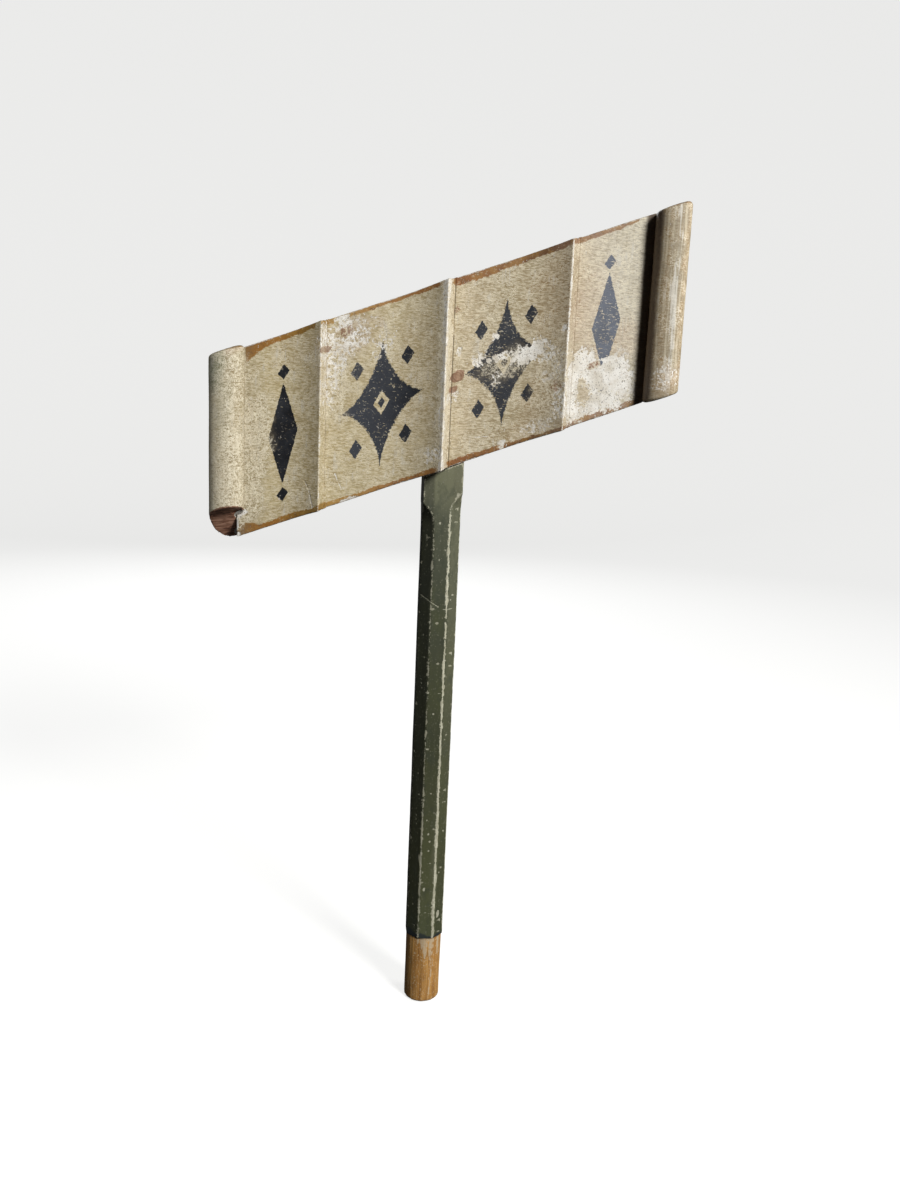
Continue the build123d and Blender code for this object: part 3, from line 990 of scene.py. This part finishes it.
class PostPaint(Paint):
    """Green over gesso on the octagon, and the bare wood of the spigot."""

    def __init__(self, name):
        super().__init__(name)
        self.streaks = self.noise(300, 3, 0.55, (1, 1, 0.05))
        self.cloud = self.noise(38, 4, 0.6, (1, 1, 0.5))
        self.patchy = self.noise(130, 4, 0.6, (1, 1, 0.6))
        self.crumbs = self.noise(420, 3, 0.6, (1, 1, 0.6))
        self.speck = self.noise(620, 2, 0.5)

    def green(self):
        """The green, painted darker on the left facets and low on the right one as painted shade, painted
        lighter up the right facet as painted light, with a pale smear, its own patches and specks, and the
        dark ring just above the shoulder.
        """
        height = self.axis(2)
        green = self.ramp(self.between_linear(height, 0, 0.5), POST_GREEN)
        green = self.mix(self.between(self.cloud, 0.42, 0.75, 0, 0.5), green, (0.082, 0.09, 0.036))
        # Painted light up the right facet, and the pale smear.
        green = self.mix(self.times(self.field("lit_side_and_smear"), 0.5), green, (0.135, 0.135, 0.085))
        # Painted shade on the left facets and low on the right one.
        green = self.mix(self.field("facet_shade"), green, (0.02, 0.021, 0.014))
        green = self.mix(self.between(self.patchy, 0.5, 0.7, 0, 0.4), green, (0.042, 0.05, 0.036))
        green = self.mix(self.between(self.streaks, 0.52, 0.8, 0, 0.3), green, (0.12, 0.125, 0.09))
        green = self.mix(self.between(self.speck, 0.63, 0.69, 0, 0.5), green, (0.20, 0.20, 0.145))
        uneven = self.plus(height, self.between(self.cloud, 0.2, 0.8, -6 * MM, 6 * MM))
        ring = self.between(uneven, 6.8 * MM, 3.8 * MM)
        return self.mix(self.times(ring, 0.85), green, (0.022, 0.029, 0.034))

    def gesso(self):
        return self.mix(self.between(self.crumbs, 0.35, 0.65), (0.60, 0.585, 0.46), (0.36, 0.345, 0.25))

    def bareness(self):
        """0 to 1 where the green is rubbed off an arris or chipped."""
        fine = self.noise(1100, 2, 0.6)
        rub = self.plus(self.field("rubbed"), self.between(self.crumbs, 0.25, 0.75, -0.8, 0.8))
        rub = self.plus(rub, self.between(fine, 0.25, 0.75, -0.5, 0.5))
        chip = self.plus(self.field("chips"), self.between(self.crumbs, 0.25, 0.75, -0.3, 0.3))
        chipped = self.times(self.between(chip, 0.45, 0.7), 0.75)
        return self.larger(self.between(rub, -0.15, 0.25), chipped)

    def spigot_wood(self):
        """Honey-brown wood with the gesso that ran down it."""
        wood = aged_wood(self, (0.62, 0.34, 0.105), (0.37, 0.17, 0.042), (0.09, 0.036, 0.012), 230)
        wood = self.mix(self.between(self.patchy, 0.5, 0.7, 0, 0.45), wood, (0.25, 0.12, 0.035))
        wood = self.mix(self.between(self.speck, 0.60, 0.66, 0, 0.7), wood, (0.66, 0.52, 0.32))
        drip = self.plus(self.field("drips"), self.between(self.streaks, 0.3, 0.7, -0.5, 0.3))
        drip = self.plus(drip, self.between(self.crumbs, 0.3, 0.7, -0.4, 0.4))
        return self.mix(self.between(drip, 0.35, 0.85, 0, 0.75), wood, (0.56, 0.46, 0.31))


def post_paint():
    paint = PostPaint("worn_green_paint")
    bare = paint.bareness()
    colour = paint.mix(paint.times(bare, 0.92), paint.green(), paint.gesso())
    # Painted shade in the hollows.
    colour = paint.mix(paint.times(paint.field("crevice_shade_and_crack"), 0.6), colour, (0.015, 0.014, 0.01))
    raw = paint.between(paint.field("raw"), -0.1, 0.5)
    colour = paint.mix(raw, colour, paint.spigot_wood())
    rough = paint.larger(paint.between(bare, 0, 1, 0.48, 0.8), paint.times(raw, 0.6))
    height = paint.plus(paint.times(paint.streaks, 0.5), paint.times(paint.crumbs, 0.3))
    height = paint.minus(height, paint.times(bare, 0.5))
    return paint.finish(colour, rough, height, 0.5, 0.25 * MM, 0.3)


# ---------------------------------------------------------------- iron
def iron():
    paint = Paint("old_iron")
    rust = paint.noise(500, 4, 0.65)
    fine = paint.noise(2200, 2, 0.5)
    colour = paint.mix(paint.between(rust, 0.45, 0.62), (0.045, 0.04, 0.038), (0.13, 0.055, 0.025))
    colour = paint.mix(paint.between(fine, 0.5, 0.8, 0, 0.4), colour, (0.20, 0.17, 0.14))
    paint.shader.inputs["Metallic"].default_value = 0.6
    return paint.finish(colour, paint.between(rust, 0.4, 0.65, 0.42, 0.85), rust, 0.4, 0.1 * MM)


# ---------------------------------------------------------------- stage
def stage():
    """A plain pale floor that curves up all round into a backdrop."""
    floor_z = mm_box("post")[0][2] * MM
    inner, flat, bend, tall = 0.5, 3.4, 1.6, 5.0  # radii of the flat, radius of the bend, wall height
    sides, steps = 72, 24
    profile = [(inner, floor_z), (flat, floor_z)]
    for step in range(1, steps + 1):
        turn = math.pi / 2 * step / steps
        profile.append((flat + bend * math.sin(turn), floor_z + bend * (1 - math.cos(turn))))
    profile.append((flat + bend, floor_z + tall))
    points = [(0, 0, floor_z)]
    for radius, height in profile:
        for side in range(sides):
            angle = 2 * math.pi * side / sides
            points.append((radius * math.cos(angle), radius * math.sin(angle), height))
    faces = [(0, 1 + side, 1 + (side + 1) % sides) for side in range(sides)]
    for ring in range(len(profile) - 1):
        first = 1 + ring * sides
        for side in range(sides):
            other = (side + 1) % sides
            faces.append((first + side, first + sides + side, first + sides + other, first + other))
    mesh = bpy.data.meshes.new("floor")
    mesh.from_pydata(points, [], faces)
    mesh.polygons.foreach_set("use_smooth", [True] * len(faces))
    floor = bpy.data.objects.new("floor", mesh)
    bpy.context.scene.collection.objects.link(floor)
    paint = Paint("pale_floor")  # it glows evenly, and lights nothing itself
    paint.shader.inputs["Base Color"].default_value = (0.4, 0.4, 0.396, 1)
    paint.shader.inputs["Roughness"].default_value = 0.95
    paint.shader.inputs["Specular IOR Level"].default_value = 0.0
    paint.shader.inputs["Emission Color"].default_value = (1, 1, 0.99, 1)
    paint.shader.inputs["Emission Strength"].default_value = 0.74
    mesh.materials.append(paint.material)
    floor.visible_diffuse = False
    floor.visible_glossy = False
    floor.visible_shadow = False


def area_light(name, target, azimuth, elevation, distance, size, power, colour):
    """A soft light that shines on target, in degrees, metres and watts. Azimuth 90 is the right."""
    data = bpy.data.lights.new(name, "AREA")
    data.shape = "DISK"
    data.size = size
    data.energy = power
    data.color = colour
    light = bpy.data.objects.new(name, data)
    bpy.context.scene.collection.objects.link(light)
    a, e = math.radians(azimuth), math.radians(elevation)
    offset = Vector((math.sin(a) * math.cos(e), -math.cos(a) * math.cos(e), math.sin(e))) * distance
    light.location = Vector(target) + offset
    light.rotation_euler = (-offset).to_track_quat("-Z", "Y").to_euler()


def lights():
    """A key from the right, two small fills from the sides, and one behind."""
    middle = (0, 0, (FOOT + HEIGHT / 2) * MM)
    area_light("key", middle, 32, 28, 3.2, 0.95, 122, (1.0, 0.99, 0.97))
    area_light("side", middle, 84, 22, 1.2, 0.5, 7, (1.0, 0.99, 0.97))
    area_light("left", (LEFT_END * MM, 0, middle[2]), -80, 5, 0.6, 0.3, 0.55, (0.97, 0.99, 1.0))
    area_light("back", middle, 186, 22, 3.0, 1.2, 34, (0.98, 0.99, 1.0))
    world = bpy.data.worlds.new("studio")
    world.use_nodes = True
    world.node_tree.nodes["Background"].inputs[0].default_value = (0.93, 0.96, 1.0, 1)
    world.node_tree.nodes["Background"].inputs[1].default_value = 0.045
    bpy.context.scene.world = world
    bpy.context.scene.view_settings.view_transform = "Standard"


CAMERA_AT = Vector((-0.0937, -0.9843, 0.5448))  # metres
CAMERA_YAW, CAMERA_PITCH, CAMERA_ROLL = 6.18, -10.74, -2.49  # degrees
SENSOR_TALL = 36.0
LENS = 30.27


def camera():
    """A level look to the right and down, then rolled."""
    yaw, pitch, roll = (math.radians(v) for v in (CAMERA_YAW, CAMERA_PITCH, CAMERA_ROLL))
    ahead = Vector((math.sin(yaw) * math.cos(pitch), math.cos(yaw) * math.cos(pitch), math.sin(pitch)))
    level = Vector((math.cos(yaw), -math.sin(yaw), 0))
    up = level.cross(ahead)
    right = level * math.cos(roll) - up * math.sin(roll)
    up = level * math.sin(roll) + up * math.cos(roll)
    data = bpy.data.cameras.new("camera")
    data.sensor_fit = "VERTICAL"
    data.sensor_height = SENSOR_TALL
    data.lens = LENS
    data.clip_start = 0.01
    camera_object = bpy.data.objects.new("camera", data)
    turn = Matrix((right, up, -ahead)).transposed().to_4x4()
    camera_object.matrix_world = Matrix.Translation(CAMERA_AT) @ turn
    bpy.context.scene.collection.objects.link(camera_object)
    bpy.context.scene.camera = camera_object


def main():
    cream = board_paint()
    for node in BOARD:
        work_board_piece(node, cream)
    work_board_piece("screw_plugs", cream, "filler", PLUG_VOXEL)
    work_post(post_paint())
    metal = iron()
    for node in ("front_screws", "back_screws"):
        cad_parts[node].data.materials.clear()
        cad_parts[node].data.materials.append(metal)
    stage()
    lights()
    camera()


main()
